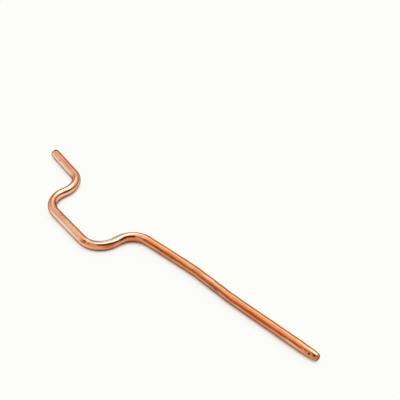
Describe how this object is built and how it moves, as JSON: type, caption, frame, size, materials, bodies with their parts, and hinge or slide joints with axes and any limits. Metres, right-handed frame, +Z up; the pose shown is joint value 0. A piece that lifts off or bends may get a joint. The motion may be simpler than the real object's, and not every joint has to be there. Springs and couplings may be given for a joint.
{
  "type": "heat pipe",
  "caption": "Round copper heat pipe bent flat into stepped S jogs, with a long straight leg and closed ends; carries heat from a hot part to a heatsink.",
  "frame": {"origin": "middle of the footprint, on the surface that the pipe lies on", "axes": "+X along the long straight leg towards its swaged end, +Z up, square to the plane of the bends"},
  "size_m": [0.2436, 0.05, 0.0064],
  "materials": {
    "copper": "drawn copper, satin, with a light heat tint"
  },
  "bodies": {
    "root": {"heat_pipe": "copper"}
  },
  "joints": []
}
